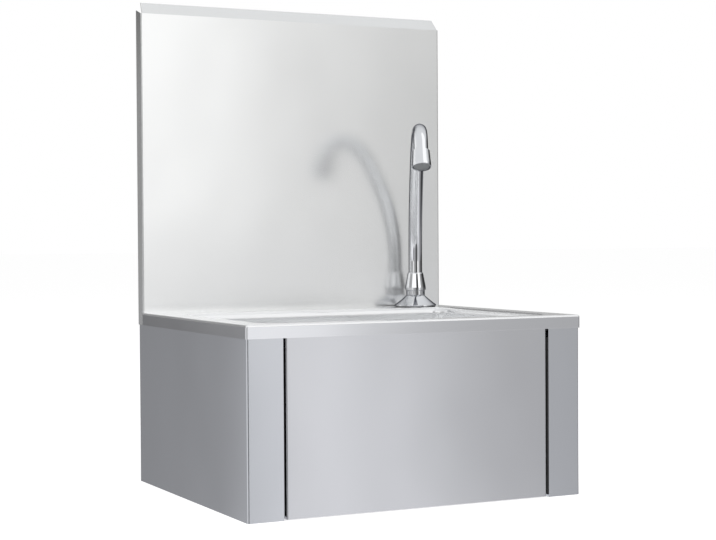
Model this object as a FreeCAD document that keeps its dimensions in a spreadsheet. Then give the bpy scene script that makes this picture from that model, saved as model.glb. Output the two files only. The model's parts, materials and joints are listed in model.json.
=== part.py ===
import FreeCAD, Part
import math
import os
import Sketcher

# Knee-operated hand wash sink of folded stainless sheet, in millimetres.
# +X is to the user's right, +Y towards the wall, +Z up. The origin is the middle of the
# footprint, at the level of the body's bottom edges.

V = FreeCAD.Vector
doc = FreeCAD.newDocument("hand_wash_sink")

# ---------------------------------------------------------------- driving dimensions

SIZES = [
    ("deck_width", 400, "overall width, measured over the rim"),
    ("overall_depth", 335, "rim front to wall"),
    ("overall_height", 565, "bottom edge to the top of the splashback flange"),
    ("deck_height", 200, "bottom edge to the top of the deck"),
    ("gauge", 1, "thickness of the stainless sheet"),
    ("skin_gap", 0.2, "fit between sheets that are slipped into each other"),
    ("rim_height", 14.5, "height of the rim's turned-down edge"),
    ("rim_corner", 2, "upright corner radius of the rim"),
    ("rim_edge", 2.5, "rounding along the rim's top edge"),
    ("back_gap", 17, "splashback face to wall"),
    ("splash_inset", 0.8, "splashback edge inside the rim's side"),
    ("flange_rise", 13.5, "height of the sloped flange on the splashback"),
    ("flange_reach", 11.5, "how far the sloped flange leans back"),
    ("flange_mitre", 2, "how far each end of the flange is cut back at its top"),
    ("return_rise", 5, "how far the side returns climb from the fold to their rear edge"),
    ("wall_lip", 38, "width of the side panels' lips that lie on the wall"),
    ("wall_hole", 7, "diameter of the wall screw holes"),
    ("wall_hole_inset", 30, "rim's side to the wall screw holes"),
    ("wall_hole_rise", 120, "height between the wall screw holes"),
    ("window_inset", 22, "rim's side to the plumbing window in the back"),
    ("window_sill", 20, "bottom edge of the plumbing window"),
    ("window_drop", 50, "deck to the top edge of the plumbing window"),
    ("window_corner", 12, "corner radius of the plumbing window"),
    ("bend", 3, "outside radius of the body's folds"),
    ("front_bend", 1.8, "outside radius of the body's upright front folds"),
    ("bowl_side", 35, "rim's side to the bowl opening"),
    ("bowl_front_edge", 26, "rim front to the bowl opening"),
    ("bowl_setback", 65, "splashback to the bowl opening"),
    ("bowl_corner", 14, "corner radius of the bowl opening"),
    ("bowl_floor_corner", 32, "corner radius of the bowl at its floor"),
    ("floor_rise", 70, "bottom edge to the bowl floor"),
    ("bowl_draw", 9, "how far each wall of the bowl leans in"),
    ("bowl_floor_round", 24, "radius between the bowl's walls and floor"),
    ("lip_round", 10, "radius where the deck rolls into the bowl"),
    ("recess_diameter", 76, "pressed seat of the drain"),
    ("recess_depth", 5, "depth of the drain's seat"),
    ("slot_inset", 42.5, "rim's side to the middle of each front slot"),
    ("slot_width", 3, "width of the front slots"),
    ("slot_return", 12, "depth of the folded edge beside each slot"),
    ("bottom_lip", 14, "width of the side panels' bottom lip"),
    ("panel_recess", 0.3, "knee panel behind the plane of the front strips"),
    ("panel_foot", 1, "knee panel's bottom edge above the body's bottom edge"),
    ("panel_return", 16.3, "depth of the knee panel's side folds"),
    ("panel_bottom_lip", 14, "depth of the knee panel's bottom fold"),
    ("rim_cover", 2.5, "how far the knee panel's top edge runs up behind the rim"),
    ("hook_width", 10, "width of the stop flange that hooks behind the slot's edge"),
    ("hook_bottom", 15, "bottom of the stop flange"),
    ("hook_top", 120, "top of the stop flange"),
    ("pivot_setback", 9, "knee panel's face to the hinge rod's axis"),
    ("pivot_drop", 9, "deck to the hinge rod's axis"),
    ("rod_diameter", 5, "hinge rod"),
    ("rod_fit", 0.08, "radial fit of the hinge rod"),
    ("ear_half", 6, "half width of the knee panel's hinge ears"),
    ("bush_diameter", 8, "nylon bush where it sits in the ear"),
    ("bush_collar", 10, "diameter of the bush's collars"),
    ("bush_inner_length", 2, "length of the bush inside the knee panel"),
    ("side_play", 0.3, "play between a bush and the front strip"),
    ("bracket_gauge", 2, "thickness of the brackets"),
    ("hinge_bracket_leg", 16, "legs of the hinge bracket"),
    ("hinge_bracket_height", 20, "height of the hinge bracket"),
    ("rod_nut_flats", 8, "across flats of the hinge rod's nuts"),
    ("rod_nut_length", 4, "length of the hinge rod's nuts"),
    ("buffer_wall", 1.2, "wall of the rubber edge buffer"),
    ("buffer_grip", 10.5, "how far the buffer reaches over the sheet"),
    ("buffer_foot", 3, "bottom edge to the edge buffer"),
    ("buffer_gap", 1, "hinge bracket to the top of the edge buffer"),
    ("rest_gap", 0.3, "gap between faces that meet when the knee panel is at rest"),
    ("valve_side", 105, "valve axis to the rim's right side"),
    ("valve_radius", 17, "radius of the valve body"),
    ("valve_headroom", 12, "free height between the valve body and the bowl"),
    ("valve_length", 42, "length of the valve body behind its bracket"),
    ("nose_diameter", 24, "threaded nose of the valve body"),
    ("nose_length", 12, "length of the nose"),
    ("chamber_diameter", 18, "bore of the valve"),
    ("valve_end_wall", 8, "thickness of the valve body's rear end"),
    ("valve_edge", 2, "rounding of the valve body's rims"),
    ("port_diameter", 16, "outlet port of the valve"),
    ("port_length", 14, "length of the outlet port"),
    ("port_bore", 8, "bore of the outlet port"),
    ("valve_nut_flats", 30, "across flats of the valve's lock nut"),
    ("valve_nut_length", 5, "length of the valve's lock nut"),
    ("cap_length", 4.5, "visible length of the valve cap"),
    ("cap_plug", 6, "length of the cap inside the nose"),
    ("cap_chamfer", 1, "chamfer round the cap's face"),
    ("stem_diameter", 8, "stem of the valve button"),
    ("stem_fit", 0.08, "radial fit of the stem"),
    ("button_diameter", 16, "head of the valve button"),
    ("button_thickness", 4, "thickness of the button's head"),
    ("button_dome", 2, "rise of the button's domed face"),
    ("button_stroke", 10.6, "travel of the valve button"),
    ("piston_thickness", 6, "piston on the stem"),
    ("piston_fit", 0.3, "radial fit of the piston"),
    ("seal_wire", 2, "section of the small seals"),
    ("spring_wire", 1.4, "wire of the return spring"),
    ("spring_diameter", 14, "outside diameter of the return spring"),
    ("spring_turns", 5, "turns of the return spring"),
    ("pusher_width", 26, "raised part of the pusher bracket"),
    ("pusher_flange", 14, "flanges of the pusher bracket"),
    ("pusher_height", 26, "height of the pusher bracket"),
    ("pusher_rise", 8, "standoff of the pusher bracket"),
    ("pusher_thread", 8, "diameter of the pusher bolt"),
    ("pusher_nut_flats", 13, "across flats of the pusher's lock nut"),
    ("pusher_nut_length", 4, "length of the pusher's lock nut"),
    ("pad_diameter", 14, "nylon pad on the pusher bolt"),
    ("pad_thickness", 3, "thickness of the pad"),
    ("bracket_depth", 30, "front to back width of the valve bracket's bar"),
    ("bracket_tab", 50, "width of the valve bracket's upright tab"),
    ("tab_headroom", 8, "upright tab's top edge below the bowl"),
    ("bracket_end_gap", 2, "valve bracket's ends inside the side panels"),
    ("screw_thread", 4, "bracket screws"),
    ("screw_head", 8, "head diameter of the bracket screws"),
    ("screw_head_height", 2.4, "head height of the bracket screws"),
    ("screw_spread", 14, "front to back distance of the bracket screws"),
    ("inlet_setback", 21, "valve bracket to the side inlet's axis"),
    ("inlet_diameter", 22, "tee and inlet boss"),
    ("inlet_boss", 6, "length of the valve's inlet boss"),
    ("tee_bore", 12, "bore of the mixing tee"),
    ("tee_first", 17, "inlet boss to the first branch"),
    ("tee_pitch", 34, "distance of the two branches"),
    ("tee_branch", 19, "length of each branch from the tee's axis"),
    ("branch_diameter", 20, "branches of the tee"),
    ("branch_bore", 11, "bore of the branches and check valves"),
    ("check_flats", 24, "across flats of the check valves"),
    ("check_body", 12, "length of a check valve's hexagon"),
    ("supply_thread", 20.955, "G 1/2 supply thread"),
    ("supply_thread_length", 14, "length of the supply thread"),
    ("hose_diameter", 11, "braided hose"),
    ("hose_bore", 7, "bore of the hose"),
    ("hose_nut_flats", 20, "across flats of the hose nuts"),
    ("hose_nut_length", 13, "length of the hose nuts"),
    ("hose_nut_grip", 10, "how far a hose nut covers its thread"),
    ("flange_diameter", 64, "drain flange"),
    ("flange_thickness", 2.5, "drain flange"),
    ("spigot_wall", 2, "wall of the spigot under the drain flange"),
    ("strainer_hole", 6, "holes of the strainer"),
    ("strainer_ring", 13, "radius of the ring of strainer holes"),
    ("strainer_count", 8, "number of strainer holes"),
    ("strainer_throat", 30, "drain body under the bowl"),
    ("waste_thread", 41.91, "G 1 1/4 waste thread"),
    ("waste_bore", 35, "bore of the drain body"),
    ("waste_hole", 45, "hole in the bowl's floor"),
    ("gasket_thickness", 2, "drain gaskets"),
    ("gasket_inset", 2, "upper gasket's edge inside the drain flange"),
    ("drain_collar", 56, "collar of the drain body and lower gasket"),
    ("drain_collar_height", 5, "collar of the drain body"),
    ("drain_bar", 6, "cross bar in the drain body"),
    ("drain_nut_diameter", 50, "nut that holds the tail"),
    ("drain_nut_height", 16, "nut that holds the tail"),
    ("tail_foot", 9, "lower end of the drain tail above the bottom edge"),
    ("tail_collar", 3, "collar of the drain tail"),
    ("tail_wall", 2, "wall of the drain tail"),
    ("tail_diameter", 32, "outlet of the drain tail"),
    ("tail_relief", 0.5, "how much slimmer the tail is inside its nut, and how far below it"),
    ("strainer_screw_head", 10, "head of the strainer screw"),
    ("strainer_screw_thread", 5, "strainer screw"),
    ("strainer_screw_rise", 2, "height of the strainer screw's rounded head"),
    ("strainer_screw_slot", 1.2, "width of the slot in the head"),
    ("strainer_screw_cut", 1, "depth of the slot in the head"),
    ("spout_side", 50.5, "spout axis to the rim's right side"),
    ("spout_setback", 28, "spout axis to the splashback"),
    ("swing_angle", 24.8, "how far the spout is turned to the left of straight ahead, degrees"),
    ("base_diameter", 52, "spout base"),
    ("base_height", 13, "height of the bell-shaped base"),
    ("base_gasket", 1, "gasket under the base"),
    ("base_foot", 1.5, "straight foot of the bell"),
    ("base_flare", 110, "radius of the bell's flare"),
    ("base_gasket_inset", 1.5, "gasket's edge inside the bell's"),
    ("ring_diameter", 23.5, "knurled ring"),
    ("ring_height", 7, "knurled ring"),
    ("ring_chamfer", 1, "chamfers of the knurled ring"),
    ("collar_diameter", 26, "swivel collar, lower end"),
    ("collar_top", 19.6, "swivel collar, upper end"),
    ("collar_height", 21.5, "swivel collar"),
    ("collar_band", 3, "straight band at the collar's lower end"),
    ("collar_lip", 1, "height of the chamfer at the collar's top"),
    ("tube_diameter", 17, "spout tube"),
    ("tube_wall", 1.5, "wall of the spout tube"),
    ("tube_fit", 0.08, "radial fit of the tube in the collar"),
    ("tube_seal", 1.2, "seal between the shank and the tube"),
    ("riser_height", 57, "deck to the end of the straight riser"),
    ("lean_radius", 198, "radius of the leaning part"),
    ("lean_angle", 32, "lean at the end of that part, degrees from upright"),
    ("lean_run", 24, "straight run after it"),
    ("crown_radius", 71, "radius of the crown's rear part"),
    ("crown_angle", 75, "direction at the end of that part, degrees from upright"),
    ("nose_radius", 26, "radius of the crown's front part"),
    ("nose_angle", 155, "direction at the end of that part, degrees from upright"),
    ("nose_run", 16.4, "straight run to the end of the tube"),
    ("aerator_length", 16.4, "aerator housing below the tube's end"),
    ("aerator_socket", 4, "aerator housing over the tube"),
    ("aerator_diameter", 22.6, "mouth of the aerator housing"),
    ("aerator_neck", 20.2, "upper end of the aerator housing"),
    ("aerator_band", 3, "straight band at the mouth"),
    ("insert_diameter", 19.8, "aerator insert"),
    ("insert_thickness", 6, "aerator insert"),
    ("insert_recess", 1.5, "insert behind the mouth"),
    ("shank_diameter", 20, "threaded shank under the spout"),
    ("shank_bore", 11, "bore of the shank"),
    ("shank_length", 44, "shank under the deck"),
    ("shank_port", 12, "length of the shank's hose port"),
    ("knurl_width", 1.5, "grooves of the knurled ring"),
    ("knurl_count", 24, "number of grooves in the knurled ring"),
    ("deck_hole", 22, "hole for the spout in the deck"),
    ("shank_nut_flats", 30, "across flats of the shank nut"),
    ("shank_nut_length", 7, "shank nut"),
    ("washer_diameter", 36, "washer under the deck"),
    ("washer_thickness", 2.5, "washer under the deck"),
]

sheet = doc.addObject("Spreadsheet::Sheet", "Sizes")
for row, (alias, value, meaning) in enumerate(SIZES, start=1):
    sheet.set(f"A{row}", meaning)
    sheet.set(f"B{row}", str(value))
    sheet.setAlias(f"B{row}", alias)
doc.recompute()


class Size:
    """A dimension: its number, and the sheet expression that it follows."""

    def __init__(self, number, text):
        self.number = float(number)
        self.text = text

    def __add__(self, other):
        other = size(other)
        return Size(self.number + other.number, f"({self.text} + {other.text})")

    def __sub__(self, other):
        other = size(other)
        return Size(self.number - other.number, f"({self.text} - {other.text})")

    def __rsub__(self, other):
        return size(other) - self

    def __radd__(self, other):
        return size(other) + self

    def __mul__(self, other):
        other = size(other)
        return Size(self.number * other.number, f"({self.text} * {other.text})")

    def __truediv__(self, other):
        other = size(other)
        return Size(self.number / other.number, f"({self.text} / {other.text})")

    def __neg__(self):
        return Size(-self.number, f"(0 - {self.text})")

    def __float__(self):
        return self.number


def size(thing):
    """A plain number, or the name of a sheet cell, as a Size."""
    if isinstance(thing, Size):
        return thing
    if isinstance(thing, str):
        return Size(sheet.get(thing), f"Sizes.{thing}")
    return Size(thing, f"({thing})")


def sine(angle):
    return Size(math.sin(math.radians(float(angle))), f"sin({angle.text})")


def cosine(angle):
    return Size(math.cos(math.radians(float(angle))), f"cos({angle.text})")


def bind(thing, prop, value):
    """Tie a property to the sheet."""
    thing.setExpression(prop, size(value).text)


# ---------------------------------------------------------------- drawing helpers

NODES = []
SAME_PLACE = 1e-4


def new_body(name, is_node=True):
    body = doc.addObject("PartDesign::Body", name)
    body.Label = name
    if is_node:
        NODES.append(body)
    return body


def origin_feature(body, role):
    return [item for item in body.Origin.OriginFeatures if item.Role == role][0]


def new_sketch(body, plane, lift=0):
    """A sketch on one of the body's own planes, lifted along that plane's normal."""
    sketch = body.newObject("Sketcher::SketchObject", "outline")
    sketch.AttachmentSupport = [(origin_feature(body, plane), "")]
    sketch.MapMode = "FlatFace"
    bind(sketch, "AttachmentOffset.Base.z", lift)
    return sketch


def pin(sketch, edge, end, x, y):
    """Fix a point of the sketch at a place given by two sizes."""
    along = sketch.addConstraint(Sketcher.Constraint("DistanceX", -1, 1, edge, end, float(x)))
    bind(sketch, f"Constraints[{along}]", x)
    across = sketch.addConstraint(Sketcher.Constraint("DistanceY", -1, 1, edge, end, float(y)))
    bind(sketch, f"Constraints[{across}]", y)


def arc_edge(start, finish, radius, side):
    """An arc between two points; side is 1 where its centre is to the left of the way."""
    x0, y0 = float(start[0]), float(start[1])
    x1, y1 = float(finish[0]), float(finish[1])
    chord = math.hypot(x1 - x0, y1 - y0)
    height = math.sqrt(max(float(radius) ** 2 - chord ** 2 / 4, 0)) * side
    centre = V((x0 + x1) / 2 - (y1 - y0) / chord * height, (y0 + y1) / 2 + (x1 - x0) / chord * height, 0)
    first = math.atan2(y0 - centre.y, x0 - centre.x)
    last = math.atan2(y1 - centre.y, x1 - centre.x)
    if side < 0:
        first, last = last, first
    circle = Part.Circle(centre, V(0, 0, 1), float(radius))
    return Part.ArcOfCircle(circle, first, last)


def draw_path(sketch, points, arcs=None, closed=True):
    """Lines through the points, with arcs {edge number: (radius, side)} where given."""
    points = [(size(x), size(y)) for x, y in points]
    arcs = arcs or {}
    count = len(points) if closed else len(points) - 1
    joints = []
    for number in range(count):
        start = points[number]
        finish = points[(number + 1) % len(points)]
        if number in arcs:
            radius, side = arcs[number]
            edge = sketch.addGeometry(arc_edge(start, finish, size(radius), side), False)
            tie = sketch.addConstraint(Sketcher.Constraint("Radius", edge, float(size(radius))))
            bind(sketch, f"Constraints[{tie}]", radius)
            joints.append((edge, 1, 2) if side > 0 else (edge, 2, 1))
        else:
            line = Part.LineSegment(V(float(start[0]), float(start[1]), 0),
                                    V(float(finish[0]), float(finish[1]), 0))
            joints.append((sketch.addGeometry(line, False), 1, 2))
    for number in range(count if closed else count - 1):
        edge, _, end = joints[number]
        after, begin, _ = joints[(number + 1) % count]
        sketch.addConstraint(Sketcher.Constraint("Coincident", edge, end, after, begin))
    for number, (edge, begin, _) in enumerate(joints):
        pin(sketch, edge, begin, *points[number])
    if not closed:
        edge, _, end = joints[-1]
        pin(sketch, edge, end, *points[-1])


def draw_circle(sketch, x, y, radius):
    edge = sketch.addGeometry(Part.Circle(V(float(size(x)), float(size(y)), 0), V(0, 0, 1),
                                          float(size(radius))), False)
    pin(sketch, edge, 3, size(x), size(y))
    tie = sketch.addConstraint(Sketcher.Constraint("Radius", edge, float(size(radius))))
    bind(sketch, f"Constraints[{tie}]", radius)


def rectangle(x0, x1, y0, y1):
    return [(x0, y0), (x1, y0), (x1, y1), (x0, y1)]


def rounded_rectangle(x0, x1, y0, y1, radius):
    """Points and arcs of a rectangle with round corners."""
    x0, x1, y0, y1 = size(x0), size(x1), size(y0), size(y1)
    points = [(x0 + radius, y0), (x1 - radius, y0), (x1, y0 + radius), (x1, y1 - radius),
              (x1 - radius, y1), (x0 + radius, y1), (x0, y1 - radius), (x0, y0 + radius)]
    return points, {number: (radius, 1) for number in (1, 3, 5, 7)}


def hexagon(across_flats, x=0, y=0):
    corner = size(across_flats) / size(math.sqrt(3))
    return [(size(x) + corner * cosine(size(60 * step)), size(y) + corner * sine(size(60 * step)))
            for step in range(6)]


def pad(body, sketch, length, against=False):
    """Raise a sketch along its normal, or against it."""
    feature = body.newObject("PartDesign::Pad", "pad")
    feature.Profile = sketch
    bind(feature, "Length", length)
    feature.Reversed = against
    doc.recompute()
    return feature


def cut(body, sketch, depth, against=False):
    """Sink a sketch into the solid against its normal; stops where nothing was cut."""
    before = body.Shape.Volume
    feature = body.newObject("PartDesign::Pocket", "pocket")
    feature.Profile = sketch
    bind(feature, "Length", depth)
    feature.Reversed = against
    doc.recompute()
    if body.Shape.Volume >= before:
        raise RuntimeError(f"a pocket in {body.Label} cuts nothing")
    return feature


def add_block(body, plane, lift, points, length, arcs=None, against=False):
    sketch = new_sketch(body, plane, lift)
    draw_path(sketch, points, arcs)
    return pad(body, sketch, length, against)


def cut_block(body, plane, lift, points, depth, arcs=None, against=False):
    sketch = new_sketch(body, plane, lift)
    draw_path(sketch, points, arcs)
    return cut(body, sketch, depth, against)


def add_disc(body, plane, lift, x, y, radius, length, against=False):
    sketch = new_sketch(body, plane, lift)
    draw_circle(sketch, x, y, radius)
    return pad(body, sketch, length, against)


def cut_disc(body, plane, lift, x, y, radius, depth, against=False):
    sketch = new_sketch(body, plane, lift)
    draw_circle(sketch, x, y, radius)
    return cut(body, sketch, depth, against)


def turn(body, points, arcs=None):
    """Turn an outline of (radius, height) about the body's own upright axis."""
    sketch = new_sketch(body, "XZ_Plane")
    draw_path(sketch, points, arcs)
    feature = body.newObject("PartDesign::Revolution", "revolution")
    feature.Profile = sketch
    feature.ReferenceAxis = (origin_feature(body, "Z_Axis"), [""])
    feature.Angle = 360
    doc.recompute()
    return feature


def round_edges(body, radius, wanted):
    """Fillet the edges of the body's tip for which wanted(edge) is true."""
    base = body.Tip
    names = [f"Edge{number}" for number, edge in enumerate(base.Shape.Edges, start=1) if wanted(edge)]
    if not names:
        raise RuntimeError(f"no edge to round in {body.Label}")
    feature = body.newObject("PartDesign::Fillet", "fillet")
    feature.Base = (base, names)
    bind(feature, "Radius", radius)
    doc.recompute()
    return feature


def is_upright(edge):
    start, finish = edge.Vertexes[0].Point, edge.Vertexes[-1].Point
    return len(edge.Vertexes) == 2 and near(start.x, finish.x) and near(start.y, finish.y)


def near(number, target):
    return abs(number - float(target)) < SAME_PLACE


def middle(edge):
    return edge.valueAt((edge.FirstParameter + edge.LastParameter) / 2)


def shell(body, wall, is_open):
    """Hollow the body to a wall that lies inside it, open at the faces chosen by is_open."""
    base = body.Tip
    names = [f"Face{number}" for number, face in enumerate(base.Shape.Faces, start=1) if is_open(face)]
    before = base.Shape.Volume
    feature = body.newObject("PartDesign::Thickness", "thickness")
    feature.Base = (base, names)
    bind(feature, "Value", wall)
    feature.Mode = "Skin"
    feature.Join = "Arc"
    feature.Reversed = True
    doc.recompute()
    if feature.Shape.Volume >= before:
        raise RuntimeError(f"{body.Label} was not hollowed")
    return feature


TO_WALL = FreeCAD.Rotation(V(1, 0, 0), -90)
TO_RIGHT = FreeCAD.Rotation(V(0, 1, 0), 90)
TO_LEFT = FreeCAD.Rotation(V(0, 1, 0), -90)
UPRIGHT = FreeCAD.Rotation()
UPSIDE_DOWN = FreeCAD.Rotation(V(1, 0, 0), 180)


def place(thing, x, y, z, rotation=UPRIGHT):
    """Put an object at a place given by sizes, its own Z axis turned by the rotation."""
    thing.Placement = FreeCAD.Placement(V(float(size(x)), float(size(y)), float(size(z))), rotation)
    bind(thing, "Placement.Base.x", x)
    bind(thing, "Placement.Base.y", y)
    bind(thing, "Placement.Base.z", z)


# ---------------------------------------------------------------- shared planes and places

gauge = size("gauge")
half_width = size("deck_width") / 2
rim_front = -size("overall_depth") / 2
wall = size("overall_depth") / 2
splash = wall - size("back_gap")
back_half = half_width - size("splash_inset")
deck_top = size("deck_height")
rim_bottom = deck_top - size("rim_height")
skin_side = half_width - gauge - size("skin_gap")
skin_front = rim_front + gauge + size("skin_gap")
skin_rear = splash - gauge - size("skin_gap")
skin_top = deck_top - size("rim_edge") - size("skin_gap")
side_top = rim_bottom - size("skin_gap")
slot_middle = half_width - size("slot_inset")
strip_edge = slot_middle + size("slot_width") / 2
panel_half = slot_middle - size("slot_width") / 2
panel_front = skin_front + size("panel_recess")
panel_rear = panel_front + size("panel_return")
panel_top = rim_bottom + size("rim_cover")
pivot_y = panel_front + size("pivot_setback")
pivot_z = deck_top - size("pivot_drop")
bowl_half = half_width - size("bowl_side")
bowl_rear = splash - size("bowl_setback")
bowl_front = rim_front + size("bowl_front_edge")
drain_y = (bowl_rear + bowl_front) / 2
floor_top = size("floor_rise")
floor_under = floor_top - gauge
valve_x = half_width - size("valve_side")
valve_z = floor_under - size("valve_headroom") - size("valve_radius")
rod_radius = size("rod_diameter") / 2


# ---------------------------------------------------------------- folded sheet pieces

def add_flange(body, fold):
    """Sloped flange along the splashback's top, its ends cut back."""
    levels = [(fold, back_half - size("bend") / 2, splash),
              (fold + size("flange_rise"), back_half - size("bend") / 2 - size("flange_mitre"),
               splash + size("flange_reach") - gauge)]
    sections = []
    for level, half, front in levels:
        sketch = new_sketch(body, "XY_Plane", level)
        draw_path(sketch, rectangle(-half, half, front, front + gauge))
        sections.append(sketch)
    loft = body.newObject("PartDesign::AdditiveLoft", "flange")
    loft.Profile = sections[0]
    loft.Sections = [sections[1]]
    loft.Ruled = True
    doc.recompute()


def make_back_panel():
    """Splashback and back in one sheet, folded round to the wall at both sides."""
    body = new_body("back_panel")
    fold = size("overall_height") - size("flange_rise")
    inner = back_half - gauge
    channel = [(-back_half, splash), (back_half, splash), (back_half, wall), (inner, wall),
               (inner, splash + gauge), (-inner, splash + gauge), (-inner, wall), (-back_half, wall)]
    add_block(body, "XY_Plane", rim_bottom, channel, fold - rim_bottom)
    round_edges(body, size("bend") / 2, lambda edge: is_upright(edge)
                and near(edge.Vertexes[0].Y, splash) and near(abs(edge.Vertexes[0].X), back_half))
    for side in (-1, 1):
        rise = [(splash + gauge * 2, fold), (wall, fold), (wall, fold + size("return_rise"))]
        lift = back_half * side if side < 0 else inner
        add_block(body, "YZ_Plane", lift, rise, gauge)
    add_flange(body, fold)
    low_half = skin_side - gauge - size("skin_gap")
    low_rear = wall - size("bend")
    low_channel = [(-low_half, splash), (low_half, splash), (low_half, low_rear),
                   (low_half - gauge, low_rear), (low_half - gauge, splash + gauge),
                   (gauge - low_half, splash + gauge), (gauge - low_half, low_rear), (-low_half, low_rear)]
    add_block(body, "XY_Plane", gauge + size("skin_gap"), low_channel, rim_bottom - gauge - size("skin_gap"))
    half = half_width - size("window_inset")
    head = deck_top - size("window_drop")
    cut_block(body, "XZ_Plane", -splash, rectangle(-half, half, size("window_sill"), head), gauge)
    round_edges(body, size("window_corner"), lambda edge: near(edge.Length, gauge)
                and near(abs(middle(edge).x), half) and middle(edge).z < float(head + gauge))


def make_deck():
    """Deck with turned-down rim, and the lip that rolls into the bowl."""
    body = new_body("sink_deck")
    points, arcs = rounded_rectangle(-half_width, half_width, rim_front, splash, size("rim_corner"))
    square = points[:4] + [(half_width, splash), (-half_width, splash)] + points[6:]
    add_block(body, "XY_Plane", rim_bottom, square, size("rim_height"), {1: arcs[1], 7: arcs[7]})
    opening, arcs = rounded_rectangle(-bowl_half, bowl_half, bowl_front, bowl_rear, size("bowl_corner"))
    cut_block(body, "XY_Plane", rim_bottom, opening, size("rim_height"), arcs, against=True)

    def on_opening(edge):
        point = middle(edge)
        inside = float(bowl_front - gauge) < point.y < float(bowl_rear + gauge)
        return near(point.z, deck_top) and inside and abs(point.x) < float(bowl_half + gauge)

    def on_rim(edge):
        point = middle(edge)
        return near(point.z, deck_top) and not on_opening(edge) and point.y < float(splash - gauge)

    round_edges(body, size("rim_edge"), on_rim)
    round_edges(body, size("lip_round"), on_opening)
    shell(body, gauge, lambda face: near(face.BoundBox.ZMax, rim_bottom))
    cut_disc(body, "XY_Plane", deck_top, half_width - size("spout_side"), splash - size("spout_setback"),
             size("deck_hole") / 2, gauge)


def bowl_form(name, grow, low, recess_radius):
    """Solid form of the bowl: tapered, with round corners and floor, and the drain's seat."""
    body = new_body(name, is_node=False)
    profiles = []
    levels = [(rim_bottom, size(0), "bowl_corner"),
              (low, size("bowl_draw"), "bowl_floor_corner")]
    for level, draw, corner in levels:
        sketch = new_sketch(body, "XY_Plane", level)
        shrink = draw - grow
        points, arcs = rounded_rectangle(-(bowl_half - shrink), bowl_half - shrink, bowl_front + shrink,
                                         bowl_rear - shrink, size(corner) + grow)
        draw_path(sketch, points, arcs)
        profiles.append(sketch)
    loft = body.newObject("PartDesign::AdditiveLoft", "loft")
    loft.Profile = profiles[0]
    loft.Sections = [profiles[1]]
    loft.Ruled = True
    doc.recompute()
    round_edges(body, size("bowl_floor_round") - gauge + grow, lambda edge: near(middle(edge).z, low))
    seat = low - size("recess_depth")
    add_disc(body, "XY_Plane", seat, 0, drain_y, recess_radius, size("recess_depth"))
    round_edges(body, (size("recess_depth") - gauge + grow) / 2, lambda edge: near(middle(edge).z, seat))
    return body


def make_bowl():
    """Pressed bowl, butt-welded under the deck's lip, with a seat for the drain."""
    recess_radius = size("recess_diameter") / 2
    outside = bowl_form("bowl_outside", gauge, floor_under, recess_radius)
    inside = bowl_form("bowl_inside", size(0), floor_top, recess_radius - gauge)
    add_disc(inside, "XY_Plane", floor_under - size("recess_depth") * 2, 0, drain_y, size("waste_hole") / 2,
             size("recess_depth") * 2)
    bowl = doc.addObject("Part::Cut", "sink_bowl")
    bowl.Label = "sink_bowl"
    bowl.Base = outside
    bowl.Tool = inside
    NODES.append(bowl)
    doc.recompute()


def make_side_panel(name, side):
    """Side of the body with its front strip, slot edge, bottom lip and the lip on the wall."""
    body = new_body(name)
    inner = skin_side - gauge
    slot_rear = skin_front + size("slot_return")
    plan = [(strip_edge, skin_front), (skin_side, skin_front), (skin_side, skin_rear), (inner, skin_rear),
            (inner, skin_front + gauge), (strip_edge + gauge, skin_front + gauge),
            (strip_edge + gauge, slot_rear), (strip_edge, slot_rear)]
    add_block(body, "XY_Plane", 0, [(x * side, y) for x, y in plan], skin_top)
    lip_edge = skin_side - size("wall_lip")
    rear = [(inner, skin_rear), (skin_side, skin_rear), (skin_side, wall), (lip_edge, wall),
            (lip_edge, wall - gauge), (inner, wall - gauge)]
    add_block(body, "XY_Plane", 0, [(x * side, y) for x, y in rear], side_top)
    lip = rectangle((skin_side - size("bottom_lip")) * side, inner * side, skin_front + gauge, wall - gauge)
    add_block(body, "XY_Plane", 0, lip, gauge)
    folds = [(skin_front, skin_side, size("front_bend")),
             (skin_front + gauge, inner, size("front_bend") - gauge),
             (wall, skin_side, size("bend")),
             (wall - gauge, inner, size("bend") - gauge)]
    for y, x, radius in folds:
        round_edges(body, radius, lambda edge: is_upright(edge)
                    and near(abs(edge.Vertexes[0].X), x) and near(edge.Vertexes[0].Y, y))
    for level in (-1, 1):
        height = (side_top + size("skin_gap") + size("wall_hole_rise") * level) / 2
        cut_disc(body, "XZ_Plane", -(wall - gauge), (half_width - size("wall_hole_inset")) * side,
                 height, size("wall_hole") / 2, gauge)
    lift = strip_edge if side > 0 else -(strip_edge + gauge)
    cut_disc(body, "YZ_Plane", lift, pivot_y, pivot_z, rod_radius + size("rod_fit"), gauge, against=True)


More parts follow.
